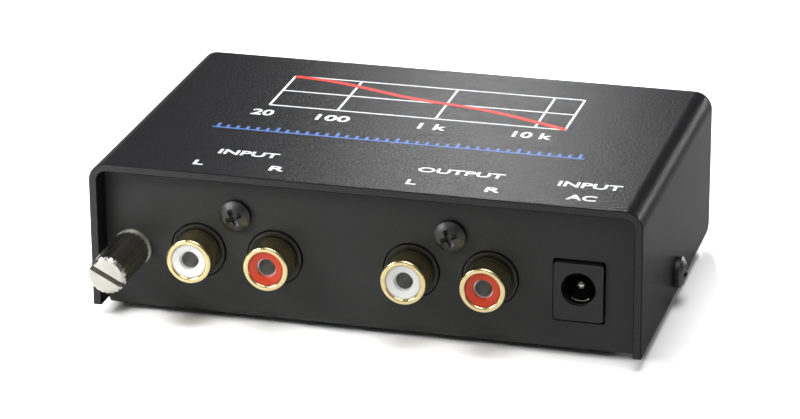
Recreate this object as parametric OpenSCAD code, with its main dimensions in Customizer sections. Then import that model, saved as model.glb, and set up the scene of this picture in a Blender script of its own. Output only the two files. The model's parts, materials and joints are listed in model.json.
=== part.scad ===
// Phono preamp in a folded steel box. A U-shaped tray carries the circuit board and the
// connectors, and a U-shaped cover slides over it and is held by one screw in each side.
//
// All pieces are drawn in the case frame: x from the middle of the case, y from the
// cover's connector edge inwards, z up from the underside of the tray. in_place() then
// moves them so that the origin is under the middle of the whole box, on the ground.
// Left and right are as seen from the connector side, which is the rear of the unit.

/* [Cover] */
// Width over the cover's sides
cover_w = 102; // [98:1:130]
// Depth of the cover, from its connector edge to its front edge
cover_d = 65.4; // [64:0.2:90]
// Height of the cover from its lower edge to its top
cover_h = 27.8; // [26.6:0.1:36]
// Thickness of the cover's sheet
cover_t = 1.5; // [1:0.1:1.6]
// Outside radius of the cover's two long bends
cover_bend_r = 3.4; // [2:0.1:5]
// Radius of the lower corners of the cover's sides at the connector edge
cover_corner_r = 0.5; // [0.3:0.1:4]
// Radius of the lower corners of the cover's sides at the front edge
cover_front_corner_r = 2; // [0.3:0.1:4]

/* [Tray] */
// Thickness of the tray's sheet
tray_t = 1.2; // [0.8:0.1:1.4]
// Outside radius of the tray's bends
tray_bend_r = 1.8; // [1.6:0.1:2.4]
// How far the tray's underside lies below the cover's lower edge
tray_drop = 1.25; // [0.6:0.05:1.7]
// How far the end panels stand back from the cover's edges
panel_recess = 4.1; // [3.4:0.1:5]
// Height of the tray's side flanges
tray_side_h = 9; // [8:0.5:12]
// Gap at each corner between a side flange and the end panel
tray_corner_gap = 4; // [3.8:0.1:6]
// Gap between the tray and each side of the cover
side_slip = 0.1; // [0.1:0.05:0.5]
// Gap between the end panels and the cover's top
top_slip = 0.2; // [0.1:0.05:0.5]

/* [Screws] */
// Diameter of all the screws' threads
screw_d = 3; // [2.5:0.1:3.4]
// Diameter of the pan heads
screw_head_d = 5.8; // [5:0.1:6.4]
// Height of the pan heads
screw_head_h = 2; // [1.6:0.1:2.4]
// Height of the straight rim under a pan head's dome
screw_rim_h = 0.9; // [0.3:0.1:1.2]
// Width across the arms of the cross recess
cross_span = 3.8; // [2.6:0.1:4]
// Width of one arm of the cross recess
cross_w = 0.9; // [0.5:0.1:1]
// Depth of the cross recess
cross_depth = 1.3; // [0.8:0.1:1.5]
// Radial gap of a screw in a plain hole
hole_slip = 0.1; // [0.05:0.05:0.3]
// Radial gap that stands for the thread in a tapped hole
thread_slip = 0.05; // [0.02:0.01:0.1]
// Height of the side screws above the tray's underside
side_screw_z = 5.25; // [4.6:0.05:6]
// How far the side screws reach past the tray's flanges
side_screw_tip = 0.7; // [0.2:0.1:1]
// Length of the screws that hold the phono jacks
jack_screw_l = 8; // [6:0.5:10]
// Turn of the cross recess in the input pair's screw
input_screw_turn = 27; // [0:1:90]
// Turn of the cross recess in the output pair's screw
output_screw_turn = 23; // [0:1:90]

/* [Feet] */
// Diameter of a foot
foot_d = 8; // [6:0.5:12]
// Thickness of a foot
foot_t = 1.2; // [0.8:0.1:4]
// Distance from the tray's side to a foot's middle
foot_inset_x = 7; // [6.5:0.5:9]
// Distance from the end panel's face to a foot's middle
foot_inset_y = 9; // [6.5:0.5:12]
// Radius of the rounding on a foot's lower edge
foot_edge_r = 0.4; // [0.1:0.1:0.6]

/* [Circuit board] */
// Thickness of the circuit board
board_t = 1.6; // [1:0.1:2]
// Height of the spacers between tray and board
board_rise = 3.35; // [2.6:0.05:4]
// Diameter of a spacer
spacer_d = 6; // [5:0.5:7]
// Gap between the board and each of the tray's side flanges
board_side_gap = 1.6; // [1.2:0.1:3]
// Gap between the board and the connector panel
board_rear_gap = 0.45; // [0.2:0.05:0.8]
// Gap between the board and the front panel
board_front_gap = 3.2; // [2.6:0.1:5]
// Distance of the board's screws from its sides
board_hole_x = 5; // [4:0.5:6]
// Distance of the first pair of screws from the board's connector edge
board_hole_rear = 18.5; // [17.5:0.5:20]
// Distance of the second pair of screws from the board's front edge
board_hole_front = 5; // [4:0.5:6]

/* [Phono jacks] */
// Height of the jacks' axes above the tray's underside
jack_z = 12.45; // [11.7:0.05:13.1]
// Distance between the two jacks of a pair
jack_pitch = 14.5; // [13.5:0.1:15]
// Distance from the cover's left side to the middle of the input pair
input_pair_inset = 26.5; // [25:0.5:29]
// Distance from the cover's right side to the middle of the output pair
output_pair_inset = 35.5; // [35:0.5:38]
// How far a jack's rim stands out of the panel
jack_reach = 6.2; // [5:0.1:9]
// Outside diameter of a jack's shell
shell_d = 8.4; // [8:0.05:8.6]
// Diameter of the shell's root inside the housing
shell_root_d = 8; // [7.6:0.05:8]
// Gap between the shell's wide part and the housing's collar
shell_root_gap = 0.1; // [0.05:0.05:0.3]
// Inside diameter of a jack's shell
shell_bore_d = 6.4; // [5.8:0.1:6.8]
// Length of a jack's shell
shell_l = 12; // [11:0.5:14]
// Radius of the rim's rounded edges
rim_r = 0.4; // [0.1:0.05:0.45]
// How far the insulator's face lies behind the rim
insulator_inset = 0.35; // [0.1:0.05:0.8]
// Depth of the dished ring in the insulator's face
dish_depth = 0.3; // [0.1:0.05:0.8]
// Bore of the centre contact
contact_bore_d = 3.2; // [3:0.05:3.3]
// Wall of the centre contact
contact_wall = 0.3; // [0.2:0.05:0.5]
// How far the centre contact lies behind the insulator's face
contact_inset = 0.9; // [0.8:0.1:2]
// Length of the centre contact
contact_l = 8; // [7:0.5:9]
// Diameter of the insulator's mouth
mouth_d = 3.65; // [3.4:0.05:3.8]
// Diameter of the panel's hole round a jack
jack_hole_d = 10.6; // [10.2:0.1:11.5]
// Diameter of the housing's collar round a jack
collar_d = 10; // [9.2:0.1:10.2]
// How far the collar stands out of the panel
collar_reach = 0.3; // [0:0.1:1]
// Diameter of the step inside the collar's mouth
collar_step_d = 9; // [8.7:0.1:9.1]
// Depth of the step inside the collar's mouth
collar_step = 0.3; // [0.1:0.05:0.6]
// Width of a jack housing
jack_block_w = 25.5; // [24.5:0.5:27]
// Height of a jack housing above the board
jack_block_h = 17.6; // [17:0.1:18.5]
// Depth of a jack housing
jack_block_d = 10; // [9:0.5:11]
// Height of the housing's screw above the jacks' axes
jack_screw_rise = 7.5; // [7.2:0.05:8.3]
// Thickness of a contact's solder tail
tail_t = 0.8; // [0.5:0.1:1]
// Gap between pieces that are pressed or slid into each other
fit_gap = 0.05; // [0.02:0.01:0.1]

/* [Power inlet] */
// Distance from the cover's right side to the inlet's axis
inlet_inset = 12.1; // [11:0.1:13]
// Width of the inlet's body
inlet_w = 9; // [8.6:0.1:10]
// Height of the inlet's body
inlet_h = 10.9; // [10.2:0.1:11.5]
// Length of the inlet's body
inlet_l = 14.3; // [13.5:0.1:15]
// How far the inlet's face stands out of the panel
inlet_reach = 0.7; // [0.3:0.1:1.5]
// Radius of the body's long edges
inlet_edge_r = 0.6; // [0.2:0.1:1]
// Height of the bore's axis above the board
inlet_bore_rise = 6; // [5.7:0.1:6.3]
// Diameter of the bore
inlet_bore_d = 6.3; // [6:0.1:6.5]
// Depth of the bore
inlet_bore_l = 10; // [9:0.5:11]
// Diameter of the centre pin
inlet_pin_d = 2; // [1.65:0.05:2.5]
// Diameter of the pin's root in the body's back wall
inlet_root_d = 2.4; // [2.4:0.05:3]
// How far the pin's tip lies behind the inlet's face
inlet_pin_inset = 1.9; // [1:0.1:3]
// Gap at each side of the inlet in the panel
inlet_side_gap = 0.3; // [0.1:0.05:0.5]
// Gap above and below the inlet in the panel
inlet_end_gap = 0.5; // [0.2:0.05:0.7]
// Thickness of the contact strips
strip_t = 0.25; // [0.2:0.05:0.3]
// Width of the sleeve spring
spring_w = 3.4; // [2.6:0.1:3.6]
// How far the sleeve spring reaches into the bore
spring_bite = 0.5; // [0.4:0.05:0.6]
// How far the sleeve spring's tip lies behind the inlet's face
spring_inset = 1.6; // [1:0.1:3]
// Depth of the pocket under the bore that the spring moves in
spring_pocket = 1.2; // [1:0.1:1.4]
// Gap between the spring and the walls of its pocket
spring_gap = 0.25; // [0.2:0.05:0.4]

/* [Ground terminal] */
// Distance from the cover's left side to the terminal's axis
ground_inset = 6.6; // [6.2:0.1:8]
// Height of the terminal's axis above the tray's underside
ground_z = 11.75; // [10.9:0.05:12.8]
// Diameter of the thread
stud_d = 4; // [3:0.5:4]
// Length of the thread below the thumbscrew's collar
stud_l = 7.9; // [7:0.1:9]
// Length of the knurled knob
knob_l = 13.5; // [9:0.1:16]
// Diameter of the knurled knob
knob_d = 7.1; // [6.2:0.1:8]
// Number of knurls
knob_teeth = 22; // [16:1:30]
// Diameter of one flute between two knurls
flute_d = 0.45; // [0.3:0.05:0.7]
// Chamfer at both ends of the knob
knob_chamfer = 0.6; // [0.3:0.05:0.8]
// Diameter of the collar under the knob
knob_collar_d = 6.4; // [5.4:0.1:7.4]
// Thickness of the collar under the knob
knob_collar_t = 0.6; // [0.4:0.1:1.2]
// Width of the screwdriver slot
slot_w = 1; // [0.6:0.1:1.4]
// Depth of the screwdriver slot
slot_depth = 1.3; // [0.8:0.1:2]
// Turn of the slot from level
slot_turn = 27.5; // [0:0.5:90]
// Diameter of the washer
washer_d = 7.2; // [6.6:0.1:8.4]
// Thickness of the washer
washer_t = 0.5; // [0.4:0.1:1]
// Radial gap between washer and thread
washer_slip = 0.15; // [0.05:0.05:0.3]
// Diameter of the threaded bush
bush_d = 5.6; // [5.2:0.1:6]
// Diameter of the bush's flange behind the panel
bush_flange_d = 8; // [7.4:0.1:9]
// Thickness of the bush's flange
bush_flange_t = 1; // [0.6:0.1:1.4]
// Length of the bush behind the panel
bush_l = 4.2; // [3.8:0.1:5]
// Thickness of the solder tag
tag_t = 0.5; // [0.4:0.1:0.8]
// Width of the tag's ring round the bush
tag_ring_w = 1.3; // [1:0.1:1.6]
// Width of the tag's tail
tag_tail_w = 2; // [1.5:0.1:3]
// Width across the flats of the bush's nut
nut_w = 8; // [7.5:0.1:8.4]
// Thickness of the bush's nut
nut_t = 2; // [1.5:0.1:2.4]

/* [Power light] */
// Distance from the cover's right side to the light's axis
light_inset = 17; // [15:0.5:23]
// Height of the light's axis above the tray's underside
light_z = 13.25; // [11.6:0.05:16.6]
// Diameter of the light's lens
light_d = 3; // [2.8:0.1:3.2]
// Length of the lens in front of its flange, without the dome
light_l = 3; // [2.8:0.1:3.4]
// Diameter of the lens's flange
light_flange_d = 3.8; // [3.6:0.1:4.2]
// Thickness of the lens's flange
light_flange_t = 1; // [0.8:0.1:1.2]
// Diameter of the holder's barrel
holder_d = 4.8; // [4.6:0.1:5.2]
// Diameter of the holder's rim
holder_rim_d = 6; // [5.8:0.1:7]
// Thickness of the holder's rim
holder_rim_t = 0.8; // [0.5:0.1:1]
// How far the holder reaches behind the front panel
holder_back = 1.2; // [1:0.1:1.5]
// Distance between the light's two leads
lead_pitch = 2.54; // [2:0.01:2.6]
// How far the leads run inwards before they turn down
lead_run = 2.4; // [2:0.1:3]

/* [Board parts] */
// Place of the left channel's middle, as a share of the board's width
left_channel_share = 0.285; // [0.26:0.005:0.295]
// Place of the right channel's middle, as a share of the board's width
right_channel_share = 0.597; // [0.585:0.001:0.605]
// Distance of the resistor rows from the board's connector edge
resistor_row_y = 17.6; // [16.8:0.1:19]
// Number of resistors in each channel's row
resistor_count = 6; // [2:1:6]
// Distance between two resistors of a row
resistor_pitch = 3.2; // [2.8:0.1:3.4]
// Diameter of a resistor
resistor_d = 2.3; // [1.8:0.1:2.4]
// Length of a resistor's body
resistor_l = 6.3; // [5:0.1:6.8]
// Distance between a resistor's two leads
resistor_span = 10.2; // [9:0.1:11]
// Place of the amplifier chips, as a share of the board's depth
chip_row_share = 0.614; // [0.6:0.002:0.62]
// Length of a chip's body
chip_l = 9.4; // [9:0.1:10]
// Width of a chip's body
chip_w = 6.4; // [6:0.1:6.8]
// Height of a chip's body
chip_h = 3.4; // [3:0.1:3.8]
// Distance between a chip's two rows of pins
chip_row_pitch = 7.62; // [7.4:0.01:8]
// Distance between two pins of a chip
chip_pin_pitch = 2.54; // [2.2:0.01:2.6]
// Distance of the film capacitors from the middle of their channel
film_offset_x = 13; // [12:0.5:13.5]
// Length of a film capacitor
film_l = 7.2; // [6:0.1:8]
// Width of a film capacitor
film_w = 3.5; // [2.5:0.1:4]
// Height of a film capacitor
film_h = 7.5; // [5:0.1:10]
// Distance between the two film capacitors of a channel
film_pitch = 6; // [5:0.1:7]
// Distance of the coupling capacitors from the board's front edge
coupling_inset = 8.2; // [7.2:0.1:9]
// Diameter of a coupling capacitor
coupling_d = 6.3; // [5:0.1:6.5]
// Height of a coupling capacitor
coupling_h = 11; // [7:0.5:13]
// Distance of a ceramic capacitor from its channel's middle
ceramic_offset_x = 7; // [6.5:0.1:8]
// Diameter of a ceramic capacitor's disc
ceramic_d = 4.5; // [3.5:0.1:5]
// Thickness of a ceramic capacitor's disc
ceramic_t = 1.8; // [1.4:0.1:2.4]
// Distance of the supply parts from the board's right side
supply_inset = 16.5; // [16:0.5:17]
// Distance of the first reservoir capacitor from the board's connector edge
reservoir_y = 22; // [21:0.5:23]
// Distance between the two reservoir capacitors
reservoir_pitch = 12; // [11:0.5:13]
// Diameter of a reservoir capacitor
reservoir_d = 10; // [8:0.5:10]
// Height of a reservoir capacitor
reservoir_h = 16; // [12:0.5:18]
// Distance of the rectifier diodes from the board's right side
diode_inset = 6.3; // [6:0.1:6.8]
// Distance of the first diode from the board's connector edge
diode_y = 25.5; // [25:0.1:27]
// Distance between the two diodes
diode_pitch = 5; // [4:0.1:6]
// Diameter of a diode
diode_d = 2.7; // [2:0.1:3]
// Length of a diode's body
diode_l = 5.2; // [4:0.1:5.5]
// Distance between a diode's two leads
diode_span = 8; // [7.5:0.1:8.5]
// Distance of the first regulator from the board's right side
regulator_inset = 24.5; // [24:0.1:25]
// Distance of the regulators from the board's front edge
regulator_front_inset = 3.6; // [3.4:0.1:4.4]
// Distance between the two regulators
regulator_pitch = 7.5; // [6.5:0.1:8]
// Diameter of a regulator's body
regulator_d = 4.8; // [4.4:0.1:5.2]
// Height of a regulator's body
regulator_h = 4.8; // [4.4:0.1:5.2]
// Distance between two legs of a regulator
regulator_leg_pitch = 1.27; // [1.2:0.01:1.4]
// Height of the parts that stand on legs above the board
leg_h = 2.5; // [1.5:0.1:4]
// Thickness of the wire leads
lead_t = 0.5; // [0.4:0.05:0.6]
// Height of the bodies that lie over the board
body_lift = 0.4; // [0.2:0.1:0.8]

/* [Hidden] */
$fn = 64;
overcut = 1;

// Tray
tray_w = cover_w - 2 * cover_t - 2 * side_slip;
panel_top = tray_drop + cover_h - cover_t - top_slip;
panel_back = panel_recess + tray_t;
front_face = cover_d - panel_recess;
front_back = front_face - tray_t;
tray_d = front_face - panel_recess;
side_screw_y = cover_d / 2;
panel_corner_r = cover_bend_r - cover_t + side_slip;

// Circuit board
board_w = tray_w - 2 * tray_t - 2 * board_side_gap;
board_y = panel_back + board_rear_gap;
board_d = front_back - board_front_gap - board_y;
board_z = tray_t + board_rise;
board_top = board_z + board_t;
board_screw_l = board_top - 0.2;
board_screw_xs = [-(board_w / 2 - board_hole_x), board_w / 2 - board_hole_x];
board_screw_ys = [board_y + board_hole_rear, board_y + board_d - board_hole_front];

// Phono jacks
rim_round = min(rim_r, (shell_d - shell_bore_d) / 4 - 0.01);
input_pair_x = -(cover_w / 2 - input_pair_inset);
output_pair_x = cover_w / 2 - output_pair_inset;
rim_y = panel_recess - jack_reach;
shell_end = rim_y + shell_l;
insulator_y = rim_y + insulator_inset;
contact_y = insulator_y + contact_inset;
contact_end = contact_y + contact_l;
contact_d = contact_bore_d + 2 * contact_wall;
collar_y = panel_recess - collar_reach;
jack_block_y = panel_back;
jack_block_end = jack_block_y + jack_block_d;
jack_screw_z = jack_z + jack_screw_rise;
jack_offsets = [-jack_pitch / 2, jack_pitch / 2];

// Power inlet
inlet_x = cover_w / 2 - inlet_inset;
inlet_y = panel_recess - inlet_reach;
inlet_z = board_top + inlet_bore_rise;
inlet_end = inlet_y + inlet_l;
bore_end = inlet_y + inlet_bore_l;
spring_r = inlet_bore_d / 2 - spring_bite;
spring_y = inlet_y + spring_inset;
spring_end = bore_end - spring_gap;
pocket_w = spring_w + 2 * spring_gap;
pocket_floor = inlet_z - inlet_bore_d / 2 - spring_pocket;

// Ground terminal
ground_x = -(cover_w / 2 - ground_inset);
washer_y = panel_recess - washer_t;
knob_collar_y = washer_y - knob_collar_t;
knob_end = knob_collar_y - knob_l;
tag_y = panel_back + bush_flange_t;
nut_y = tag_y + tag_t;

// Power light
light_x = cover_w / 2 - light_inset;
holder_y = front_back - holder_back;
light_leg_y = holder_y - light_flange_t - lead_run;

// Board parts
left_channel_x = (left_channel_share - 0.5) * board_w;
right_channel_x = (right_channel_share - 0.5) * board_w;
chip_row_y = chip_row_share * board_d;
coupling_row_y = board_d - coupling_inset;
regulator_y = board_d - regulator_front_inset;
supply_x = board_w / 2 - supply_inset;
diode_x = board_w / 2 - diode_inset;
regulator_x = board_w / 2 - regulator_inset;

// ---------- helpers ----------

// Moves the case frame to the part's own frame.
module in_place() {
    translate([0, -(knob_end + cover_d) / 2, foot_t]) children();
}

// Extrudes a flat shape drawn in x and z along y.
module along_y(y, l) {
    translate([0, y + l, 0]) rotate([90, 0, 0]) linear_extrude(l) children();
}

// Extrudes a flat shape drawn in y and z along x, evenly about the middle.
module along_x(l) {
    translate([-l / 2, 0, 0]) rotate([90, 0, 90]) linear_extrude(l) children();
}

// A round bar along y.
module rod_y(y, l, d) {
    along_y(y, l) circle(d = d);
}

// Turns a section drawn in radius and y about the y axis.
module turned_y() {
    rotate([-90, 0, 0]) rotate_extrude() children();
}

// A box that is centred in x and starts at y and z.
module block(x, y, z, size) {
    translate([x - size[0] / 2, y, z]) cube(size);
}

// Outline with two rounded upper corners, open to the ground.
module arch_outline(w, h, r) {
    translate([-w / 2, 0]) square([w, h - r]);
    translate([-w / 2 + r, 0]) square([w - 2 * r, h]);
    for (side = [-1, 1]) translate([side * (w / 2 - r), h - r]) circle(r);
}

// The same outline with its rounded corners below.
module trough_outline(w, h, r) {
    translate([0, h]) mirror([0, 1]) arch_outline(w, h, r);
}

// Rectangle with four rounded corners.
module rounded_rectangle(w, h, r) {
    translate([-w / 2 + r, -h / 2]) square([w - 2 * r, h]);
    translate([-w / 2, -h / 2 + r]) square([w, h - 2 * r]);
    for (x = [-1, 1], y = [-1, 1]) translate([x * (w / 2 - r), y * (h / 2 - r)]) circle(r);
}

// Section of a ring from radius r0 to r1 whose two edges at y0 are rounded.
module rounded_ring_section(r0, r1, y0, y1, r) {
    translate([r0, y0 + r]) square([r1 - r0, y1 - y0 - r]);
    translate([r0 + r, y0]) square([r1 - r0 - 2 * r, y1 - y0]);
    for (at = [r0 + r, r1 - r]) translate([at, y0 + r]) circle(r);
}

// Pan head screw with a cross recess: seat at z = 0, head above, shank below.
module pan_screw(l) {
    dome = screw_head_h - screw_rim_h;
    ball_r = (screw_head_d * screw_head_d / 4 + dome * dome) / (2 * dome);
    difference() {
        union() {
            intersection() {
                cylinder(h = screw_head_h, d = screw_head_d);
                translate([0, 0, screw_head_h - ball_r]) sphere(ball_r, $fn = 96);
            }
            translate([0, 0, -l]) cylinder(h = l + screw_rim_h / 2, d = screw_d);
        }
        cross_recess();
    }
}

// Cross recess whose arms run to a point.
module cross_recess() {
    intersection() {
        translate([0, 0, screw_head_h - cross_depth])
            cylinder(h = cross_depth + overcut, d1 = cross_w, d2 = cross_span * (1 + overcut / cross_depth));
        for (turn = [0, 90]) rotate(turn)
            translate([-cross_span / 2, -cross_w / 2, screw_head_h - cross_depth])
                cube([cross_span, cross_w, cross_depth + overcut]);
    }
}

// ---------- sheet metal ----------

module top_cover() {
    color([0.21, 0.21, 0.22]) in_place() translate([0, 0, tray_drop]) difference() {
        intersection() {
            along_y(0, cover_d) cover_section();
            along_x(cover_w) translate([cover_d, 0])
                trough_outline(2 * cover_d, cover_h + overcut, cover_corner_r);
            along_x(cover_w) trough_outline(2 * cover_d, cover_h + overcut, cover_front_corner_r);
        }
        side_screw_hole(cover_w, side_screw_z - tray_drop, hole_slip);
    }
}

module cover_section() {
    difference() {
        arch_outline(cover_w, cover_h, cover_bend_r);
        translate([0, -overcut])
            arch_outline(cover_w - 2 * cover_t, cover_h - cover_t + overcut, cover_bend_r - cover_t);
    }
}

module side_screw_hole(w, z, slip) {
    translate([-w / 2 - overcut, side_screw_y, z]) rotate([0, 90, 0])
        cylinder(h = w + 2 * overcut, d = screw_d + 2 * slip);
}

module chassis_tray() {
    color([0.19, 0.19, 0.2]) in_place() difference() {
        union() {
            difference() {
                end_panels();
                floor_side_strips();
            }
            side_flanges();
        }
        jack_openings();
        inlet_opening();
        translate([ground_x, 0, ground_z])
            rod_y(panel_recess - overcut, tray_t + 2 * overcut, bush_d + 2 * fit_gap);
        translate([light_x, 0, light_z])
            rod_y(front_back - overcut, tray_t + 2 * overcut, holder_d + 2 * fit_gap);
        side_screw_hole(tray_w, side_screw_z, thread_slip);
        for (x = board_screw_xs, y = board_screw_ys) translate([x, y, -overcut])
            cylinder(h = tray_t + 2 * overcut, d = screw_d + 2 * thread_slip);
    }
}

// Floor and the two end panels, bent from one strip.
module end_panels() {
    intersection() {
        along_x(tray_w) translate([cover_d / 2, 0]) difference() {
            trough_outline(tray_d, panel_top, tray_bend_r);
            translate([0, tray_t])
                trough_outline(tray_d - 2 * tray_t, panel_top, tray_bend_r - tray_t);
        }
        along_y(panel_recess, tray_d) arch_outline(tray_w, panel_top, panel_corner_r);
    }
}

// What the side flanges leave free of the floor.
module floor_side_strips() {
    l = tray_d - 2 * tray_t;
    for (side = [-1, 1])
        block(side * tray_w / 2, panel_back, -overcut, [2 * tray_bend_r, l, panel_top]);
}

// Side flanges with their stretch of floor.
module side_flanges() {
    along_y(panel_back + tray_corner_gap, tray_d - 2 * tray_t - 2 * tray_corner_gap) difference() {
        trough_outline(tray_w, tray_side_h, tray_bend_r);
        translate([0, tray_t])
            trough_outline(tray_w - 2 * tray_t, tray_side_h, tray_bend_r - tray_t);
    }
}

module jack_openings() {
    for (pair = [input_pair_x, output_pair_x]) {
        for (offset = jack_offsets) translate([pair + offset, 0, jack_z])
            rod_y(panel_recess - overcut, tray_t + 2 * overcut, jack_hole_d);
        translate([pair, 0, jack_screw_z])
            rod_y(panel_recess - overcut, tray_t + 2 * overcut, screw_d + 2 * hole_slip);
    }
}

module inlet_opening() {
    translate([inlet_x, 0, board_top + inlet_h / 2])
        along_y(panel_recess - overcut, tray_t + 2 * overcut)
            rounded_rectangle(inlet_w + 2 * inlet_side_gap, inlet_h + 2 * inlet_end_gap, inlet_edge_r);
}

module cover_screws() {
    l = cover_t + side_slip + tray_t + side_screw_tip;
    color([0.12, 0.12, 0.12]) in_place() for (side = [-1, 1])
        translate([side * cover_w / 2, side_screw_y, side_screw_z]) rotate([0, side * 90, 0])
            pan_screw(l);
}

// ---------- feet ----------

module foot(side, y) {
    color([0.08, 0.08, 0.08]) in_place()
        translate([side * (tray_w / 2 - foot_inset_x), y, -foot_t]) rotate_extrude() {
            translate([0, foot_edge_r]) square([foot_d / 2, foot_t - foot_edge_r]);
            square([foot_d / 2 - foot_edge_r, foot_t]);
            intersection() {
                translate([foot_d / 2 - foot_edge_r, foot_edge_r]) circle(foot_edge_r);
                square([foot_d / 2, foot_t]);
            }
        }
}

module foot_rear_left() foot(-1, panel_recess + foot_inset_y);
module foot_rear_right() foot(1, panel_recess + foot_inset_y);
module foot_front_left() foot(-1, front_face - foot_inset_y);
module foot_front_right() foot(1, front_face - foot_inset_y);

// ---------- circuit board ----------

module circuit_board() {
    color([0.12, 0.36, 0.2]) in_place() difference() {
        block(0, board_y, board_z, [board_w, board_d, board_t]);
        for (x = board_screw_xs, y = board_screw_ys) translate([x, y, board_z - overcut])
            cylinder(h = board_t + 2 * overcut, d = screw_d + 2 * hole_slip);
    }
}

module board_spacers() {
    color([0.8, 0.78, 0.7]) in_place()
        for (x = board_screw_xs, y = board_screw_ys) translate([x, y, tray_t]) difference() {
            cylinder(h = board_rise, d = spacer_d);
            translate([0, 0, -overcut])
                cylinder(h = board_rise + 2 * overcut, d = screw_d + 2 * hole_slip);
        }
}

module board_screws() {
    color([0.7, 0.7, 0.72]) in_place()
        for (x = board_screw_xs, y = board_screw_ys) translate([x, y, board_top])
            pan_screw(board_screw_l);
}

// ---------- phono jacks ----------

module jack_housing(pair) {
    color([0.1, 0.1, 0.1]) in_place() difference() {
        union() {
            block(pair, jack_block_y, board_top, [jack_block_w, jack_block_d, jack_block_h]);
            for (offset = jack_offsets) translate([pair + offset, 0, jack_z])
                rod_y(collar_y, jack_block_y - collar_y + overcut, collar_d);
        }
        for (offset = jack_offsets) translate([pair + offset, 0, jack_z]) {
            rod_y(collar_y - overcut, shell_end - collar_y + overcut, shell_root_d + 2 * fit_gap);
            rod_y(collar_y - overcut, collar_step + overcut, collar_step_d);
            rod_y(shell_end - overcut, jack_block_end - shell_end + 2 * overcut, tail_t + 2 * fit_gap);
        }
        translate([pair, 0, jack_screw_z])
            rod_y(jack_block_y - overcut, jack_screw_l + overcut, screw_d + 2 * thread_slip);
    }
}

module input_jack_housing() jack_housing(input_pair_x);
module output_jack_housing() jack_housing(output_pair_x);

module jack_screws() {
    color([0.12, 0.12, 0.12]) in_place() {
        jack_screw(input_pair_x, input_screw_turn);
        jack_screw(output_pair_x, output_screw_turn);
    }
}

module jack_screw(x, turn) {
    translate([x, panel_recess, jack_screw_z]) rotate([90, 0, 0]) rotate(turn) pan_screw(jack_screw_l);
}

// Gold plated sleeve: a rounded rim and, inside the housing, a narrower root.
module jack_shell(x) {
    color([0.8, 0.66, 0.36]) in_place() translate([x, 0, jack_z]) turned_y() difference() {
        rounded_ring_section(shell_bore_d / 2, shell_d / 2, rim_y, shell_end, rim_round);
        translate([shell_root_d / 2, collar_y - shell_root_gap]) square(shell_l);
    }
}

// Insulator with a dished face, a mouth, and a seat for the centre contact.
module jack_insulator(x, tone) {
    outer_r = shell_bore_d / 2 - fit_gap;
    mouth_r = mouth_d / 2;
    seat_r = contact_d / 2 + fit_gap;
    tail_r = tail_t / 2 + fit_gap;
    dish_r = outer_r - dish_depth;
    color(tone) in_place() translate([x, 0, jack_z]) turned_y() polygon([
        [outer_r, insulator_y],
        [outer_r, shell_end],
        [tail_r, shell_end],
        [tail_r, contact_end + fit_gap],
        [seat_r, contact_end + fit_gap],
        [seat_r, contact_y],
        [mouth_r, contact_y],
        [mouth_r, insulator_y + dish_depth],
        [dish_r, insulator_y]
    ]);
}

// Centre contact: a socket closed at its end, a tail and a leg down to the board.
module jack_contact(x) {
    leg_y = jack_block_end + fit_gap;
    color([0.6, 0.6, 0.6]) in_place() union() {
        translate([x, 0, jack_z]) {
            difference() {
                rod_y(contact_y + fit_gap, contact_l - fit_gap, contact_d);
                rod_y(contact_y - overcut, contact_l - contact_wall + overcut, contact_bore_d);
            }
            rod_y(contact_end - contact_wall / 2, leg_y - contact_end + contact_wall, tail_t);
        }
        block(x, leg_y, board_top, [tail_t, tail_t, jack_z + tail_t / 2 - board_top]);
    }
}

white_tone = [0.93, 0.94, 0.93];
red_tone = [0.78, 0.2, 0.14];
module input_left_shell() jack_shell(input_pair_x + jack_offsets[0]);
module input_left_insulator() jack_insulator(input_pair_x + jack_offsets[0], white_tone);
module input_left_contact() jack_contact(input_pair_x + jack_offsets[0]);
module input_right_shell() jack_shell(input_pair_x + jack_offsets[1]);
module input_right_insulator() jack_insulator(input_pair_x + jack_offsets[1], red_tone);
module input_right_contact() jack_contact(input_pair_x + jack_offsets[1]);
module output_left_shell() jack_shell(output_pair_x + jack_offsets[0]);
module output_left_insulator() jack_insulator(output_pair_x + jack_offsets[0], white_tone);
module output_left_contact() jack_contact(output_pair_x + jack_offsets[0]);
module output_right_shell() jack_shell(output_pair_x + jack_offsets[1]);
module output_right_insulator() jack_insulator(output_pair_x + jack_offsets[1], red_tone);
module output_right_contact() jack_contact(output_pair_x + jack_offsets[1]);

// ---------- power inlet ----------

module inlet_housing() {
    color([0.13, 0.13, 0.13]) in_place() difference() {
        translate([inlet_x, 0, board_top + inlet_h / 2])
            along_y(inlet_y, inlet_l) rounded_rectangle(inlet_w, inlet_h, inlet_edge_r);
        translate([inlet_x, 0, inlet_z]) {
            rod_y(inlet_y - overcut, inlet_bore_l + overcut, inlet_bore_d);
            rod_y(bore_end - overcut, inlet_l, inlet_root_d + 2 * fit_gap);
        }
        block(inlet_x, spring_y - spring_gap, pocket_floor,
            [pocket_w, bore_end - spring_y + spring_gap, inlet_z - pocket_floor]);
    }
}

// Centre pin with a rounded tip, a root in the body's back wall, and a leg to the board.
module inlet_pin() {
    tip_y = inlet_y + inlet_pin_inset;
    r = inlet_pin_d / 2;
    root_y = bore_end - fit_gap;
    leg_y = inlet_end + fit_gap;
    color([0.8, 0.8, 0.8]) in_place() union() {
        translate([inlet_x, 0, inlet_z]) turned_y() {
            intersection() {
                translate([0, tip_y + r]) circle(r);
                translate([0, tip_y]) square(r);
            }
            translate([0, tip_y + r]) square([r, root_y - tip_y - r]);
            translate([0, root_y]) square([inlet_root_d / 2, leg_y + strip_t - root_y]);
        }
        block(inlet_x, leg_y, board_top, [inlet_root_d, strip_t, inlet_z - board_top]);
    }
}

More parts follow.
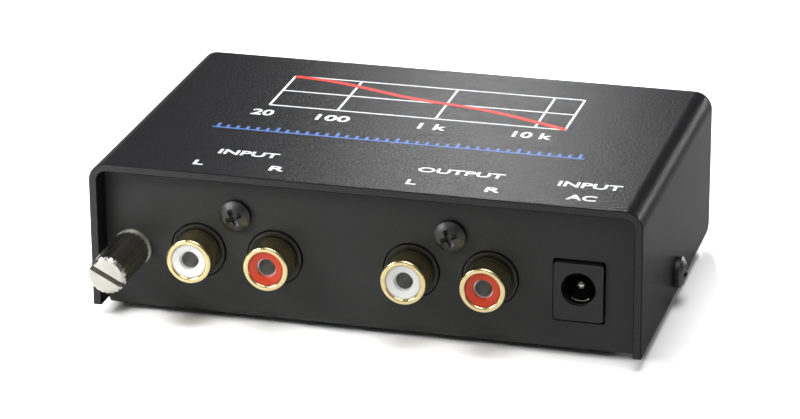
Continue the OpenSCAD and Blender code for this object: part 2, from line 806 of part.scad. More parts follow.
// Sleeve spring: a strip that follows the bore's floor and stands a little into it.
module inlet_sleeve_spring() {
    span = 2 * asin(spring_w / 2 / (spring_r + strip_t));
    color([0.78, 0.78, 0.78]) in_place() translate([inlet_x, spring_y, inlet_z])
        rotate([-90, 0, 0]) rotate(90 - span / 2) rotate_extrude(angle = span)
            translate([spring_r, 0]) square([strip_t, spring_end - spring_y]);
}

// Switch contact on the pocket's floor, under the sleeve spring.
module inlet_switch_contact() {
    l = spring_end - spring_y - 2;
    color([0.75, 0.72, 0.62]) in_place()
        block(inlet_x, spring_end - l, pocket_floor, [spring_w - 1, l, strip_t]);
}

// ---------- ground terminal ----------

module ground_bush() {
    color([0.72, 0.7, 0.64]) in_place() translate([ground_x, 0, ground_z]) difference() {
        union() {
            rod_y(panel_recess + fit_gap, tray_t + bush_l - fit_gap, bush_d);
            rod_y(panel_back, bush_flange_t, bush_flange_d);
        }
        rod_y(0, panel_back + bush_l + overcut, stud_d + 2 * thread_slip);
    }
}

module ground_tag() {
    ring_d = bush_d + 2 * fit_gap + 2 * tag_ring_w;
    color([0.8, 0.78, 0.7]) in_place() difference() {
        union() {
            translate([ground_x, 0, ground_z]) rod_y(tag_y, tag_t, ring_d);
            block(ground_x, tag_y, board_top, [tag_tail_w, tag_t, ground_z - board_top]);
        }
        translate([ground_x, 0, ground_z])
            rod_y(tag_y - overcut, tag_t + 2 * overcut, bush_d + 2 * fit_gap);
    }
}

module ground_nut() {
    color([0.75, 0.75, 0.72]) in_place() translate([ground_x, 0, ground_z]) difference() {
        along_y(nut_y, nut_t) circle(d = nut_w / cos(30), $fn = 6);
        rod_y(nut_y - overcut, nut_t + 2 * overcut, bush_d + 2 * thread_slip);
    }
}

module ground_washer() {
    color([0.35, 0.34, 0.32]) in_place() translate([ground_x, 0, ground_z]) difference() {
        rod_y(washer_y, washer_t, washer_d);
        rod_y(washer_y - overcut, washer_t + 2 * overcut, stud_d + 2 * washer_slip);
    }
}

// Knurled thumbscrew with a screwdriver slot across its end.
module ground_thumbscrew() {
    r = knob_d / 2;
    color([0.78, 0.76, 0.72]) in_place() translate([ground_x, 0, ground_z]) union() {
        difference() {
            intersection() {
                along_y(knob_end, knob_l) knurl_outline(r);
                turned_y() polygon([
                    [0, knob_end],
                    [r - knob_chamfer, knob_end],
                    [r + overcut, knob_end + knob_chamfer + overcut],
                    [r + overcut, knob_collar_y - knob_chamfer - overcut],
                    [r - knob_chamfer, knob_collar_y],
                    [0, knob_collar_y]
                ]);
            }
            rotate([0, slot_turn, 0])
                block(0, knob_end - overcut, -slot_w / 2, [2 * knob_d, slot_depth + overcut, slot_w]);
        }
        rod_y(knob_collar_y, knob_collar_t, knob_collar_d);
        rod_y(washer_y - knob_collar_t / 2, stud_l + knob_collar_t / 2, stud_d);
    }
}

module knurl_outline(r) {
    difference() {
        circle(r);
        for (i = [0 : knob_teeth - 1]) rotate(i * 360 / knob_teeth) translate([r, 0])
            circle(d = flute_d, $fn = 24);
    }
}

// ---------- power light ----------

module light_holder() {
    color([0.1, 0.1, 0.1]) in_place() translate([light_x, 0, light_z]) difference() {
        union() {
            rod_y(holder_y, holder_back + tray_t + fit_gap, holder_d);
            rod_y(front_face, holder_rim_t, holder_rim_d);
        }
        rod_y(holder_y - overcut, holder_back + tray_t + holder_rim_t + 2 * overcut, light_d + 2 * fit_gap);
    }
}

module light_lens() {
    r = light_d / 2;
    color([0.75, 0.85, 0.95]) in_place() translate([light_x, 0, light_z]) turned_y() {
        translate([0, holder_y - light_flange_t]) square([light_flange_d / 2, light_flange_t]);
        translate([0, holder_y - light_flange_t / 2]) square([r, light_l + light_flange_t / 2]);
        intersection() {
            translate([0, holder_y + light_l]) circle(r);
            translate([0, holder_y]) square([r, light_l + r]);
        }
    }
}

module light_leads() {
    color([0.8, 0.8, 0.8]) in_place() for (side = [-1, 1])
        translate([light_x + side * lead_pitch / 2, 0, 0]) {
            block(0, light_leg_y, light_z - lead_t / 2, [lead_t, lead_run, lead_t]);
            block(0, light_leg_y, board_top, [lead_t, lead_t, light_z - board_top]);
        }
}

// ---------- board parts ----------

// Places a part on the board, at y from the board's connector edge.
module on_board(x, y) {
    in_place() translate([x, board_y + y, board_top]) children();
}

// Round part that lies over the board on two bent leads, along x.
module axial_part(d, l, span) {
    z = body_lift + d / 2;
    translate([-l / 2, 0, z]) rotate([0, 90, 0]) cylinder(h = l, d = d);
    translate([-span / 2, -lead_t / 2, z - lead_t / 2]) cube([span, lead_t, lead_t]);
    for (side = [-1, 1]) translate([side * (span - lead_t) / 2 - lead_t / 2, -lead_t / 2, 0])
        cube([lead_t, lead_t, z]);
}

// Electrolytic capacitor with a crimped waist and a recessed top.
module can_capacitor(d, h) {
    r = d / 2;
    crimp_z = 1.6;
    crimp = 0.35;
    top_recess = 0.25;
    rotate_extrude() polygon([
        [0, 0],
        [r, 0],
        [r, crimp_z],
        [r - crimp, crimp_z + crimp],
        [r, crimp_z + 2 * crimp],
        [r, h - crimp],
        [r - crimp, h],
        [r - 2 * crimp, h],
        [r - 2 * crimp, h - top_recess],
        [0, h - top_recess]
    ]);
}

module amplifier_chip(x) {
    color([0.13, 0.13, 0.14]) on_board(x, chip_row_y) {
        difference() {
            translate([-chip_l / 2, -chip_w / 2, body_lift]) cube([chip_l, chip_w, chip_h]);
            translate([-chip_l / 2, 0, body_lift + chip_h / 2]) cylinder(h = chip_h, d = 1.6);
        }
        for (i = [0 : 3], side = [-1, 1]) translate([(i - 1.5) * chip_pin_pitch, 0, 0])
            chip_pin(side);
    }
}

// One pin: out of the body's side, then down to the board.
module chip_pin(side) {
    reach = chip_row_pitch / 2;
    z = body_lift + chip_h / 2;
    translate([-lead_t / 2, side > 0 ? 0 : -reach, z - strip_t / 2]) cube([lead_t, reach, strip_t]);
    translate([-lead_t / 2, side * (reach - strip_t / 2) - strip_t / 2, 0])
        cube([lead_t, strip_t, z + strip_t / 2]);
}

module amplifier_chip_left() amplifier_chip(left_channel_x);
module amplifier_chip_right() amplifier_chip(right_channel_x);

module reservoir_capacitor(y) {
    color([0.1, 0.12, 0.2]) on_board(supply_x, y) can_capacitor(reservoir_d, reservoir_h);
}

module reservoir_capacitor_positive() reservoir_capacitor(reservoir_y);
module reservoir_capacitor_negative() reservoir_capacitor(reservoir_y + reservoir_pitch);

// Small regulator: a half-round body on three legs.
module voltage_regulator(x) {
    color([0.14, 0.14, 0.15]) on_board(x, regulator_y) {
        translate([0, 0, leg_h]) intersection() {
            cylinder(h = regulator_h, d = regulator_d);
            translate([-regulator_d / 2, -regulator_d / 4, 0]) cube([regulator_d, regulator_d, regulator_h]);
        }
        for (i = [-1 : 1]) translate([i * regulator_leg_pitch - lead_t / 2, -lead_t / 2, 0])
            cube([lead_t, lead_t, leg_h + lead_t]);
    }
}

module voltage_regulator_positive() voltage_regulator(regulator_x);
module voltage_regulator_negative() voltage_regulator(regulator_x + regulator_pitch);

module rectifier_diodes() {
    color([0.12, 0.12, 0.12]) for (i = [0, 1]) on_board(diode_x, diode_y + i * diode_pitch)
        axial_part(diode_d, diode_l, diode_span);
}

// A row of resistors that lie along y.
module resistor_row(x) {
    first = -(resistor_count - 1) / 2;
    color([0.35, 0.55, 0.62]) for (i = [0 : resistor_count - 1])
        on_board(x + (first + i) * resistor_pitch, resistor_row_y) rotate(90)
            axial_part(resistor_d, resistor_l, resistor_span);
}

module resistors_left() resistor_row(left_channel_x);
module resistors_right() resistor_row(right_channel_x);

// Two box-shaped film capacitors beside a channel's chip.
module film_capacitors(x) {
    color([0.72, 0.2, 0.15]) for (i = [0, 1])
        on_board(x - film_offset_x, chip_row_y + i * film_pitch)
            linear_extrude(film_h) rounded_rectangle(film_l, film_w, 0.4);
}

module film_capacitors_left() film_capacitors(left_channel_x);
module film_capacitors_right() film_capacitors(right_channel_x);

module coupling_capacitors() {
    color([0.1, 0.12, 0.2]) for (x = [left_channel_x, right_channel_x])
        on_board(x, coupling_row_y) can_capacitor(coupling_d, coupling_h);
}

// Disc capacitors that stand on two legs, a pair beside each coupling capacitor.
module ceramic_capacitors() {
    color([0.75, 0.55, 0.3])
        for (x = [left_channel_x, right_channel_x], side = [-1, 1])
            on_board(x + side * ceramic_offset_x, coupling_row_y) {
                translate([ceramic_t / 2, 0, leg_h / 2 + ceramic_d / 2]) rotate([0, -90, 0])
                    cylinder(h = ceramic_t, d = ceramic_d);
                for (leg = [-1, 1])
                    translate([-lead_t / 2, leg * ceramic_d / 4 - lead_t / 2, 0])
                        cube([lead_t, lead_t, leg_h / 2 + ceramic_d / 2]);
            }
}

top_cover();
chassis_tray();
cover_screws();
foot_rear_left();
foot_rear_right();
foot_front_left();
foot_front_right();
circuit_board();
board_spacers();
board_screws();
input_jack_housing();
output_jack_housing();
jack_screws();
input_left_shell();
input_left_insulator();
input_left_contact();
input_right_shell();
input_right_insulator();
input_right_contact();
output_left_shell();
output_left_insulator();
output_left_contact();
output_right_shell();
output_right_insulator();
output_right_contact();
inlet_housing();
inlet_pin();
inlet_sleeve_spring();
inlet_switch_contact();
ground_bush();
ground_tag();
ground_nut();
ground_washer();
ground_thumbscrew();
light_holder();
light_lens();
light_leads();
amplifier_chip_left();
amplifier_chip_right();
reservoir_capacitor_positive();
reservoir_capacitor_negative();
voltage_regulator_positive();
voltage_regulator_negative();
rectifier_diodes();
resistors_left();
resistors_right();
film_capacitors_left();
film_capacitors_right();
coupling_capacitors();
ceramic_capacitors();
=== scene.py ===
"""Looks of a small phono preamp: finishes, printed words, studio and camera.

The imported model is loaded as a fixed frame. Its solids keep their shape and place here;
they get rounded edges, smooth shading and materials, and the printed words lie on the
cover. Lengths are in millimetres times MM, in the part's own frame.
"""
import json
import math

import bpy
from mathutils import Matrix, Vector


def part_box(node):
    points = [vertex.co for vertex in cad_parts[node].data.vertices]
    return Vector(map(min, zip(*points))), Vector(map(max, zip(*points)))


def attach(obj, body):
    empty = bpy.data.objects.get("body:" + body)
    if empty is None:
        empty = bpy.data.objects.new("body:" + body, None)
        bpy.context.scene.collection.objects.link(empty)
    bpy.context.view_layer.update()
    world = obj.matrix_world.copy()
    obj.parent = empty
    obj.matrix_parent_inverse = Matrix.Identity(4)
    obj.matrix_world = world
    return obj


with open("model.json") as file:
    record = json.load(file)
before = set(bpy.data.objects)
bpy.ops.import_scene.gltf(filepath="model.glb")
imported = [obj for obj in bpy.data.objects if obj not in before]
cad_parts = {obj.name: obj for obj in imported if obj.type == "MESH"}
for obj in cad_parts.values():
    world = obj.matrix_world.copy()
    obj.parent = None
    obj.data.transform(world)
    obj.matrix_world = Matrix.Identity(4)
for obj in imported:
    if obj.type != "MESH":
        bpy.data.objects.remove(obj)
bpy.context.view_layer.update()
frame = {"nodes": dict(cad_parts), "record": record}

MM = 0.001

# The photograph's camera: its angles, its distance and its lens. The target is measured
# from the cover's middle, its connector edge and its lower edge.
VIEW_AZIMUTH = 15.445
VIEW_ELEVATION = 21.217
VIEW_ROLL = -0.382
VIEW_DISTANCE = 655.44 * MM
VIEW_TARGET = Vector((-3.876, 40.52, 8.03)) * MM
LENS = 155.75
SENSOR_WIDTH = 36


# ---------- node helpers ----------

def linear(r, g, b):
    """A colour given by its sRGB values from 0 to 255, in linear light."""
    def channel(v):
        v /= 255
        return v / 12.92 if v <= 0.04045 else ((v + 0.055) / 1.055) ** 2.4
    return (channel(r), channel(g), channel(b), 1)


def scaled(colour, factor):
    return tuple(min(1, c * factor) for c in colour[:3]) + (1,)


def blend_numbers(tree, value, low, high, to_low, to_high):
    """A value that goes from to_low to to_high while the given one goes from low to high."""
    node = tree.nodes.new("ShaderNodeMapRange")
    node.inputs["From Min"].default_value = low
    node.inputs["From Max"].default_value = high
    node.inputs["To Min"].default_value = to_low
    node.inputs["To Max"].default_value = to_high
    tree.links.new(value, node.inputs["Value"])
    return node.outputs["Result"]


def combine(tree, operation, *values):
    node = tree.nodes.new("ShaderNodeMath")
    node.operation = operation
    for value, socket in zip(values, node.inputs):
        if isinstance(value, float):
            socket.default_value = value
        else:
            tree.links.new(value, socket)
    return node.outputs[0]


def either(tree, a, b):
    return combine(tree, "MAXIMUM", a, b)


def times(tree, a, b):
    return combine(tree, "MULTIPLY", a, b)


class Nodes:
    """A material's node tree with short calls to add and join nodes."""

    def __init__(self, name):
        self.material = bpy.data.materials.new(name)
        self.material.use_nodes = True
        self.tree = self.material.node_tree
        self.shader = self.tree.nodes["Principled BSDF"]
        self.output = self.tree.nodes["Material Output"]
        self.coordinates = self.tree.nodes.new("ShaderNodeTexCoord").outputs["Object"]

    def add(self, kind, **inputs):
        node = self.tree.nodes.new("ShaderNode" + kind)
        for key, value in inputs.items():
            node.inputs[key.replace("_", " ")].default_value = value
        return node

    def join(self, source, target):
        self.tree.links.new(source, target)

    def set(self, **inputs):
        for key, value in inputs.items():
            self.shader.inputs[key.replace("_", " ")].default_value = value

    def noise(self, size, detail=2.0, roughness=0.5):
        """Noise whose blotches are about as wide as size, in metres."""
        node = self.add("TexNoise", Scale=1 / size, Detail=detail, Roughness=roughness)
        self.join(self.coordinates, node.inputs["Vector"])
        return node.outputs["Fac"]

    def ramp(self, value, low, high, to_low=0.0, to_high=1.0):
        return blend_numbers(self.tree, value, low, high, to_low, to_high)

    def blend(self, factor, colour_a, colour_b):
        """A mix of two colours, each a plain colour or another node's output."""
        node = self.tree.nodes.new("ShaderNodeMix")
        node.data_type = "RGBA"
        for socket, colour in ((node.inputs[6], colour_a), (node.inputs[7], colour_b)):
            if isinstance(colour, tuple):
                socket.default_value = colour
            else:
                self.join(colour, socket)
        self.join(factor, node.inputs[0])
        return node.outputs[2]

    def bump(self, height, strength, distance):
        node = self.add("Bump", Strength=strength, Distance=distance)
        self.join(height, node.inputs["Height"])
        self.join(node.outputs["Normal"], self.shader.inputs["Normal"])

    def colour_by(self, cloud, low, high, colour_a, colour_b):
        tone = self.blend(self.ramp(cloud, low, high), colour_a, colour_b)
        self.join(tone, self.shader.inputs["Base Color"])

    def roughness_by(self, cloud, low, high, smooth, rough):
        self.join(self.ramp(cloud, low, high, smooth, rough), self.shader.inputs["Roughness"])


# ---------- materials ----------

GLOSS_PATCH = 9 * MM
GLOSS_SPREAD = 0.008


def powder_coat(name, colour, roughness, grain, grain_depth, specular, mottle):
    """Textured paint: a fine pebble grain, with lighter and darker specks in it."""
    n = Nodes(name)
    grains = n.noise(grain, 3.0, roughness=0.6)
    n.colour_by(grains, 0.35, 0.68, scaled(colour, 1 - mottle), scaled(colour, 1 + mottle))
    n.roughness_by(n.noise(GLOSS_PATCH), 0.3, 0.7, roughness - GLOSS_SPREAD, roughness + GLOSS_SPREAD)
    n.set(Specular_IOR_Level=specular)
    n.bump(grains, 1.0, grain_depth)
    return n.material


def metal(name, colour, roughness, depth=0.002 * MM, dull=0.12):
    """Plated or bare metal with a faint cloud in its gloss and a fine surface grain.

    The cloud's darker parts have the colour less the share given by dull.
    """
    n = Nodes(name)
    n.set(Metallic=1.0)
    cloud = n.noise(2.5 * MM, 4.0)
    n.colour_by(cloud, 0.3, 0.75, colour, scaled(colour, 1 - dull))
    n.roughness_by(cloud, 0.3, 0.7, roughness, roughness + 0.06)
    n.bump(n.noise(0.6 * MM, 3.0), 0.35, depth)
    return n.material


def plastic(name, colour, roughness, specular=0.5, grain=0.35 * MM, depth=0.004 * MM, spread=0.12):
    """Moulded plastic or rubber with a fine grain and a slight change of tone."""
    n = Nodes(name)
    tone = n.noise(1.8 * MM, 3.0)
    n.colour_by(tone, 0.3, 0.7, scaled(colour, 1 - spread), scaled(colour, 1 + spread))
    n.roughness_by(tone, 0.3, 0.7, roughness - 0.03, roughness + 0.04)
    n.set(Specular_IOR_Level=specular)
    n.bump(n.noise(grain, 2.0), 0.3, depth)
    return n.material


def circuit_board_material():
    """Green solder resist with tracks that show faintly through it."""
    n = Nodes("board_resist")
    tracks = n.add("TexBrick", Scale=260.0)
    n.join(n.coordinates, tracks.inputs["Vector"])
    weave = n.noise(0.5 * MM, 2.0)
    green = n.blend(n.ramp(weave, 0.3, 0.7), linear(20, 92, 52), linear(32, 112, 66))
    n.join(n.blend(tracks.outputs["Fac"], green, linear(48, 132, 84)), n.shader.inputs["Base Color"])
    n.set(Roughness=0.32)
    n.bump(tracks.outputs["Fac"], 0.3, 0.03 * MM)
    return n.material


def clear_lens():
    """Water-clear resin of the power light, a little milky."""
    n = Nodes("clear_resin")
    n.set(Base_Color=linear(216, 228, 240), Roughness=0.12, Transmission_Weight=0.75, IOR=1.5)
    n.bump(n.noise(0.8 * MM, 2.0), 0.15, 0.01 * MM)
    return n.material


def ink(name, colour):
    """Screen-printed ink: matt, with a thin mottling from the paint under it."""
    n = Nodes(name)
    mottle = n.noise(0.35 * MM, 3.0)
    n.colour_by(mottle, 0.3, 0.7, scaled(colour, 0.9), colour)
    n.set(Roughness=0.5, Specular_IOR_Level=0.02)
    n.bump(mottle, 0.25, 0.01 * MM)
    return n.material


def make_materials():
    """One material for each material slot of the record, and a lighter, glossier copy of the cover's
    paint for its cut edges, which paints on them the light they catch.
    """
    return {
        "cover_paint": powder_coat(
            "cover_powder_coat", (0.0155, 0.0155, 0.0166, 1), 0.23, 0.38 * MM, 0.085 * MM, 0.0048, 0.06),
        # Painted light: a lighter, glossier copy of the cover's paint for the faces of its cut edges,
        # standing in for the light they catch.
        "cover_edge_lit_copy": powder_coat(
            "cover_edge_painted_light", (0.044, 0.044, 0.045, 1), 0.40, 0.30 * MM, 0.02 * MM, 0.10, 0.12),
        "tray_paint": powder_coat(
            "tray_powder_coat", (0.030, 0.0315, 0.030, 1), 0.44, 0.30 * MM, 0.012 * MM, 0.26, 0.12),
        "black_screw": metal("black_oxide", linear(76, 76, 76), 0.42, depth=0.004 * MM),
        "rubber": plastic("black_rubber", linear(30, 30, 30), 0.7, 0.3, 0.25 * MM, 0.02 * MM),
        "board": circuit_board_material(),
        "tinned_brass": metal("tinned_brass", linear(205, 198, 178), 0.30),
        "zinc_steel": metal("zinc_plate", linear(196, 200, 206), 0.30),
        "nickel_plate": metal("nickel_plate", linear(190, 187, 179), 0.21, depth=0.004 * MM),
        "washer_steel": metal("dull_steel", linear(206, 204, 198), 0.30, depth=0.006 * MM, dull=0.17),
        "black_plastic": plastic("black_nylon", linear(38, 38, 38), 0.40, 0.35, 0.3 * MM, 0.006 * MM),
        "gold_plate": metal("gold_plate", linear(236, 218, 164), 0.18, depth=0.003 * MM),
        "white_insulator": plastic("white_nylon", linear(240, 241, 238), 0.35, 0.4, spread=0.02),
        "red_insulator": plastic("red_nylon", linear(206, 62, 30), 0.30, 0.4, spread=0.06),
        "contact_metal": metal("contact_tin", linear(238, 238, 236), 0.45),
        "chip_plastic": plastic("chip_epoxy", linear(38, 38, 41), 0.55, 0.4),
        "lens": clear_lens(),
        "capacitor_sleeve": plastic("capacitor_sleeve", linear(24, 30, 58), 0.30, 0.5),
        "resistor": plastic("resistor_lacquer", linear(92, 142, 158), 0.32, 0.5),
        "film_capacitor": plastic("film_capacitor_resin", linear(176, 48, 36), 0.38, 0.5),
        "ceramic": plastic("ceramic_dip", linear(196, 140, 72), 0.45, 0.4),
    }


# ---------- the CAD nodes ----------

# Width of the rounding that the pieces of a slot have along their edges. Other slots have
# only a broken edge.
BROKEN_EDGE = 0.03 * MM
EDGE_ROUNDING = {
    "cover_paint": 0.40 * MM,
    "tray_paint": 0.30 * MM,
    "black_plastic": 0.12 * MM,
    "nickel_plate": 0.06 * MM,
    "black_screw": 0.08 * MM,
    "gold_plate": 0.05 * MM,
}


def dress(node, material, rounding):
    """Gives a CAD node its material, smooth faces and softly rounded edges."""
    piece = frame["nodes"][node]
    mesh = piece.data
    mesh.materials.clear()
    mesh.materials.append(material)
    if "custom_normal" in mesh.attributes:
        mesh.attributes.remove(mesh.attributes["custom_normal"])
    mesh.polygons.foreach_set("use_smooth", [True] * len(mesh.polygons))
    weld = piece.modifiers.new("Weld", "WELD")
    weld.merge_threshold = 0.0005 * MM
    flat = piece.modifiers.new("Flat faces", "DECIMATE")
    flat.decimate_type = "DISSOLVE"
    flat.angle_limit = math.radians(0.5)
    bevel = piece.modifiers.new("Rounding", "BEVEL")
    bevel.width = rounding
    bevel.segments = 3
    bevel.limit_method = "ANGLE"
    bevel.angle_limit = math.radians(32)
    bevel.harden_normals = True
    bevel.use_clamp_overlap = True
    bevel.material = 0


def dress_nodes(materials):
    for part in frame["record"]["subparts"]:
        slot = part["material_slot"]
        dress(part["node"], materials[slot], EDGE_ROUNDING.get(slot, BROKEN_EDGE))
    # The cover's cut edges get the lighter copy of its paint: painted light.
    paint_light_on_sheet_edges(frame["nodes"]["top_cover"].data, materials["cover_edge_lit_copy"])


def paint_light_on_sheet_edges(mesh, material):
    """The cut edges of the cover's sheet get a lighter, glossier copy of its paint: painted light,
    standing in for the light these faces catch.

    They are the faces that look towards the connector side or towards the front.
    """
    mesh.materials.append(material)
    # Faces turned to the front or back get the lighter copy of the paint: painted light.
    for face in mesh.polygons:
        if abs(face.normal.y) > 0.7:
            face.material_index = 1


# ---------- print on the cover ----------

PRINT_THICKNESS = 0.012 * MM
# Height of a capital letter and extra weight of a stroke, as shares of the letters' size.
CAPITAL_HEIGHT = 0.70
LETTER_WEIGHT = 0.0238


def lettering(name, words, x, y, height, width, material):
    """Printed words centred on x and y; height is that of a capital letter."""
    curve = bpy.data.curves.new(name, "FONT")
    curve.body = words
    curve.align_x = "CENTER"
    curve.align_y = "CENTER"
    curve.size = height / CAPITAL_HEIGHT
    curve.offset = LETTER_WEIGHT * curve.size
    curve.extrude = PRINT_THICKNESS / 2
    curve.materials.append(material)
    piece = bpy.data.objects.new(name, curve)
    bpy.context.collection.objects.link(piece)
    bpy.context.view_layer.update()
    stretch = width / piece.dimensions.x
    piece.scale = (stretch, 1, 1)
    piece.location = (x, y, cover_top() + PRINT_THICKNESS / 2)
    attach(piece, "case")


def cover_top():
    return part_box("top_cover")[1][2]


def connector_edge():
    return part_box("top_cover")[0][1]


def print_labels(white):
    """The words for the connectors: name, text, middle, height and width, in millimetres."""
    edge = connector_edge()
    for name, words, x, y, height, width in (
            ("label_input", "INPUT", -24.3, 11.5, 2.2, 11.3),
            ("label_input_left", "L", -31.7, 5.0, 2.2, 1.9),
            ("label_input_right", "R", -17.2, 5.3, 2.2, 2.8),
            ("label_output", "OUTPUT", 15.5, 11.4, 2.2, 15.9),
            ("label_output_left", "L", 8.0, 4.8, 2.2, 1.9),
            ("label_output_right", "R", 22.8, 4.5, 2.2, 2.8),
            ("label_power_input", "INPUT", 39.1, 10.7, 2.4, 11.5),
            ("label_power_kind", "AC", 39.1, 4.55, 2.4, 5.4)):
        lettering(name, words, x * MM, edge + y * MM, height * MM, width * MM, white)


# The decoration is a plain chart of level over frequency. Its places are measured from
# the cover's middle and its connector edge.
CHART_WIDTH = 57 * MM
CHART_HEIGHT = 17 * MM
CHART_MIDDLE = 46.5 * MM
CHART_STROKE = 0.45 * MM
CURVE_STROKE = 1.3 * MM
LOWEST, HIGHEST = 20, 20000
LEVEL_RANGE = 20
CURVE_STEPS = 48
NUMBERS_MIDDLE = 33.5 * MM
NUMBER_HEIGHT = 2.9 * MM
RULE_MIDDLE = 23.9 * MM
RULE_LENGTH = 70.5 * MM
RULE_STROKE = 0.5 * MM
TICKS = 37
TICK_STROKE = 0.6 * MM
TICK_HEIGHT = 1.5 * MM
LONG_TICK_HEIGHT = 2.2 * MM
LONG_TICK_EVERY = 6


def playback_level(frequency):
    """Level in decibels that evens out a record's groove, from its three time constants."""
    turns = 2 * math.pi * frequency

    def corner(seconds):
        return 10 * math.log10(1 + (turns * seconds) ** 2)
    return corner(318e-6) - corner(3180e-6) - corner(75e-6) + 19.9


def chart_x(frequency):
    share = math.log10(frequency / LOWEST) / math.log10(HIGHEST / LOWEST)
    return (share - 0.5) * CHART_WIDTH


def stroke(name, points, width, material, coats=1):
    """A printed line of even width through points on the cover's top.

    Lines that cross have different numbers of coats, so that their tops don't coincide.
    """
    low, high = cover_top(), cover_top() + coats * PRINT_THICKNESS
    corners = []
    for k, point in enumerate(points):
        before, after = points[max(k - 1, 0)], points[min(k + 1, len(points) - 1)]
        along = (Vector(after) - Vector(before)).normalized()
        side = Vector((-along.y, along.x)) * width / 2
        for x, y in (Vector(point) + side, Vector(point) - side):
            corners += [(x, y, low), (x, y, high)]
    faces = [(0, 1, 3, 2), tuple(len(corners) - 4 + k for k in (0, 2, 3, 1))]
    for k in range(0, len(corners) - 4, 4):
        faces += [(k + a, k + b, k + 4 + b, k + 4 + a) for a, b in ((0, 2), (2, 3), (3, 1), (1, 0))]
    mesh = bpy.data.meshes.new(name)
    mesh.from_pydata(corners, [], faces)
    mesh.materials.append(material)
    piece = bpy.data.objects.new(name, mesh)
    bpy.context.collection.objects.link(piece)
    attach(piece, "case")


def print_chart(white, red):
    """White frame and level lines, a red curve, and white numbers under it."""
    middle = connector_edge() + CHART_MIDDLE
    half = CHART_HEIGHT / 2
    for k, level in enumerate((-1, 0, 1)):
        y = middle + level * half
        stroke(f"level_line_{k}", [(chart_x(LOWEST), y), (chart_x(HIGHEST), y)], CHART_STROKE, white)
    for k, frequency in enumerate((LOWEST, 100, 1000, 10000, HIGHEST)):
        x = chart_x(frequency)
        stroke(f"frequency_line_{k}", [(x, middle - half), (x, middle + half)], CHART_STROKE, white, 2)
    curve = []
    for k in range(CURVE_STEPS + 1):
        frequency = LOWEST * (HIGHEST / LOWEST) ** (k / CURVE_STEPS)
        curve.append((chart_x(frequency), middle + playback_level(frequency) / LEVEL_RANGE * half))
    stroke("level_curve", curve, CURVE_STROKE, red, 3)
    y = connector_edge() + NUMBERS_MIDDLE
    numbers = ((LOWEST, "20", 4.2), (100, "100", 6.4), (1000, "1 k", 5.4), (10000, "10 k", 7.4))
    for frequency, words, width in numbers:
        name = "number_" + words.replace(" ", "")
        lettering(name, words, chart_x(frequency), y, NUMBER_HEIGHT, width * MM, white)


def print_scale(blue):
    """Blue rule with ticks, between the chart and the connectors' words."""
    y = connector_edge() + RULE_MIDDLE
    left = -RULE_LENGTH / 2
    stroke("scale_rule", [(left, y), (-left, y)], RULE_STROKE, blue)
    for k in range(TICKS):
        x = left + (k + 0.5) * RULE_LENGTH / TICKS
        height = LONG_TICK_HEIGHT if k % LONG_TICK_EVERY == 0 else TICK_HEIGHT
        stroke(f"scale_tick_{k}", [(x, y), (x, y + height)], TICK_STROKE, blue, 2)


def print_cover():
    white = ink("white_ink", linear(240, 242, 242))
    print_labels(white)
    print_chart(white, ink("red_ink", linear(206, 38, 30)))
    print_scale(ink("blue_ink", linear(78, 116, 190)))


# ---------- studio ----------

# Brightness of the surroundings: as a light, and as shiny surfaces see them above
# HORIZON_HEIGHT, the upward part of the direction in which they grow dark.
ROOM_LIGHT = 0.08
CEILING_BRIGHTNESS = 0.15
HORIZON_HEIGHT = 0.15
# Colour of the paper as the light finds it, as the camera sees it and as mirrors see it.
PAPER_COLOUR = 0.75
PAPER_BRIGHTNESS = 1.4
MIRRORED_PAPER = 0.9
FLOOR_SIZE = 6.0
FLOOR_GAP = 0.02 * MM
# Distances from the middle at which the floor starts and ends to turn plain white.
NEAR_FLOOR = 0.20
FAR_FLOOR = 0.34


def area_light(name, position, towards, size, power):
    lamp = bpy.data.lights.new(name, "AREA")
    lamp.shape = "RECTANGLE"
    lamp.size, lamp.size_y = size
    lamp.energy = power
    light = bpy.data.objects.new(name, lamp)
    bpy.context.collection.objects.link(light)
    light.location = Vector(position)
    aim = (Vector(towards) - Vector(position)).normalized()
    light.rotation_euler = aim.to_track_quat("-Z", "Y").to_euler()
    light.visible_camera = False


# Name, place, point aimed at, size and power of each lamp, in metres and watts.
LAMPS = (
    ("top_softbox", (0.06, -0.11, 0.70), (0.02, 0.0, 0), (0.42, 0.36), 3.3),
    ("left_card", (-0.13, -0.11, 0.10), (-0.10, 0.05, 0.0), (0.08, 0.05), 0.24),
    ("front_card", (0.00, -0.42, 0.56), (0, 0, 0.012), (0.40, 0.25), 0.50),
    ("right_card", (0.32, -0.10, 0.50), (0.05, 0, 0.012), (0.25, 0.25), 0.08),
    ("back_strip", (-0.086, 0.42, 0.25), (-0.01, 0.01, 0.03), (0.05, 0.20), 2.5),
    ("bend_strip", (0.20, 0.42, 0.066), (0.04, 0.01, 0.03), (0.10, 0.04), 0.75),
)


def add_lights():
    for lamp in LAMPS:
        area_light(*lamp)


def add_world():
    """Dim room, shown white to the camera and, near the horizon, in shiny surfaces too."""
    world = bpy.data.worlds.new("studio")
    bpy.context.scene.world = world
    world.use_nodes = True
    tree = world.node_tree
    tree.nodes.clear()
    out = tree.nodes.new("ShaderNodeOutputWorld")
    background = tree.nodes.new("ShaderNodeBackground")
    paths = tree.nodes.new("ShaderNodeLightPath")
    direction = tree.nodes.new("ShaderNodeSeparateXYZ")
    tree.links.new(tree.nodes.new("ShaderNodeTexCoord").outputs["Generated"], direction.inputs["Vector"])
    mirrored = blend_numbers(tree, direction.outputs["Z"], 0.0, HORIZON_HEIGHT, 1.0, CEILING_BRIGHTNESS)
    shiny = either(tree, paths.outputs["Is Glossy Ray"], paths.outputs["Is Transmission Ray"])
    seen = either(tree, times(tree, shiny, mirrored), paths.outputs["Is Camera Ray"])
    strength = either(tree, seen, ROOM_LIGHT)
    tree.links.new(strength, background.inputs["Strength"])
    tree.links.new(background.outputs["Background"], out.inputs["Surface"])


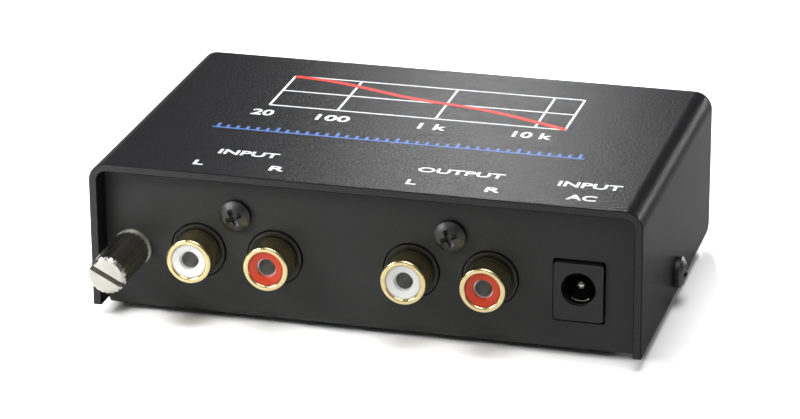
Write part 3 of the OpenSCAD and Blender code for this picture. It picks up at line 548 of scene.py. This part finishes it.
def add_floor():
    """White paper, shown brighter than it is lit so that it meets the white surroundings.

    Away from the part, where the lamps reach it less, it is shown plain white.
    """
    bpy.ops.mesh.primitive_plane_add(size=FLOOR_SIZE, location=(0, 0, -FLOOR_GAP))
    floor = bpy.context.object
    floor.name = "floor"
    n = Nodes("white_paper")
    paper = n.add("BsdfDiffuse", Roughness=0.0)
    paths = n.tree.nodes.new("ShaderNodeLightPath").outputs
    direct = either(n.tree, paths["Is Camera Ray"], paths["Is Transmission Ray"])
    mirrored = paths["Is Glossy Ray"]
    brightness = n.ramp(direct, 0, 1, PAPER_COLOUR, PAPER_BRIGHTNESS)
    reflection = n.ramp(mirrored, 0, 1, 0.0, MIRRORED_PAPER)
    n.join(either(n.tree, brightness, reflection), paper.inputs["Color"])
    distance = n.tree.nodes.new("ShaderNodeVectorMath")
    distance.operation = "LENGTH"
    n.join(n.coordinates, distance.inputs[0])
    far = n.ramp(distance.outputs["Value"], NEAR_FLOOR, FAR_FLOOR)
    plain = n.add("Emission", Strength=1.0)
    surface = n.tree.nodes.new("ShaderNodeMixShader")
    n.join(times(n.tree, either(n.tree, direct, mirrored), far), surface.inputs["Fac"])
    n.join(paper.outputs["BSDF"], surface.inputs[1])
    n.join(plain.outputs["Emission"], surface.inputs[2])
    n.join(surface.outputs["Shader"], n.output.inputs["Surface"])
    floor.data.materials.append(n.material)


def add_camera():
    azimuth, elevation, roll = (math.radians(a) for a in (VIEW_AZIMUTH, VIEW_ELEVATION, VIEW_ROLL))
    level = math.cos(elevation)
    back = Vector((math.sin(azimuth) * level, -math.cos(azimuth) * level, math.sin(elevation)))
    right = Vector((math.cos(azimuth), math.sin(azimuth), 0))
    up = back.cross(right)
    right = right * math.cos(roll) + up * math.sin(roll)
    up = back.cross(right)
    data = bpy.data.cameras.new("camera")
    data.lens = LENS
    data.sensor_width = SENSOR_WIDTH
    data.clip_start = 0.01
    camera = bpy.data.objects.new("camera", data)
    bpy.context.collection.objects.link(camera)
    turn = Matrix((right, up, back)).transposed()
    target = VIEW_TARGET + Vector((0, connector_edge(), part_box("top_cover")[0][2]))
    camera.matrix_world = Matrix.Translation(target + back * VIEW_DISTANCE) @ turn.to_4x4()
    bpy.context.scene.camera = camera


materials = make_materials()
dress_nodes(materials)
print_cover()
add_world()
add_floor()
add_lights()
add_camera()
bpy.context.scene.view_settings.view_transform = "Standard"

bpy.context.view_layer.update()
